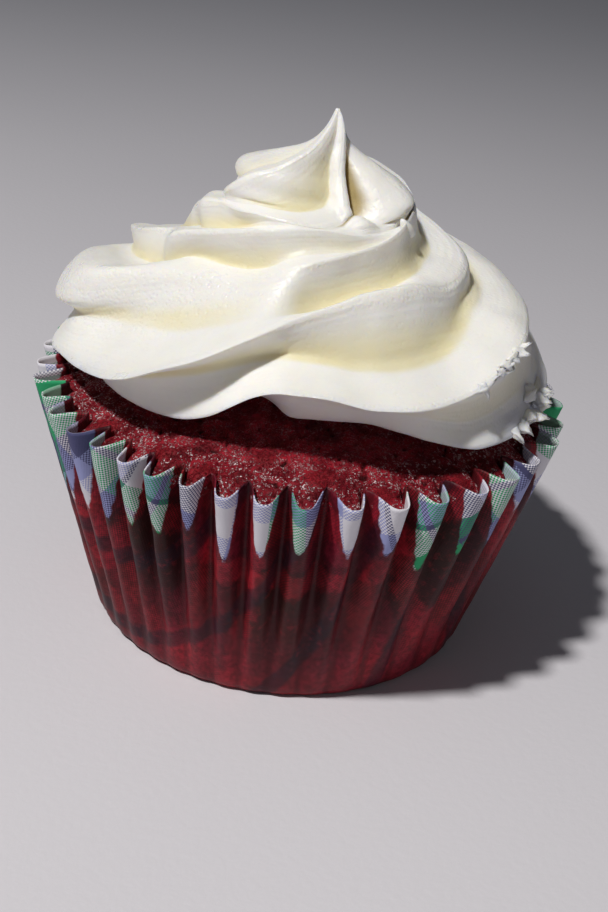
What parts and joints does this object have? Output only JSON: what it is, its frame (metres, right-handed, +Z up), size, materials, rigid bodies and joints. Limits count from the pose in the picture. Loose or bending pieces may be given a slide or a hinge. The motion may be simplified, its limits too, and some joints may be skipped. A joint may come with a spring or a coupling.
{
  "type": "cupcake",
  "caption": "Red sponge cupcake with a tall piped swirl of white frosting, in a pleated tartan paper case that stands on its flat base.",
  "frame": {"origin": "centre of the case's flat underside, on the surface that it stands on", "axes": "+Z up through the crown of the swirl, -Y towards the front, +X to the right"},
  "size_m": [0.07, 0.0698, 0.0691],
  "materials": {
    "case_paper": "matte, grease-stained tartan print",
    "red_sponge": "moist open crumb, stands in for sponge cake",
    "white_frosting": "smooth satin, stands in for cream cheese frosting"
  },
  "bodies": {
    "root": {"paper_case": "case_paper", "cake": "red_sponge", "frosting": "white_frosting"}
  },
  "joints": []
}
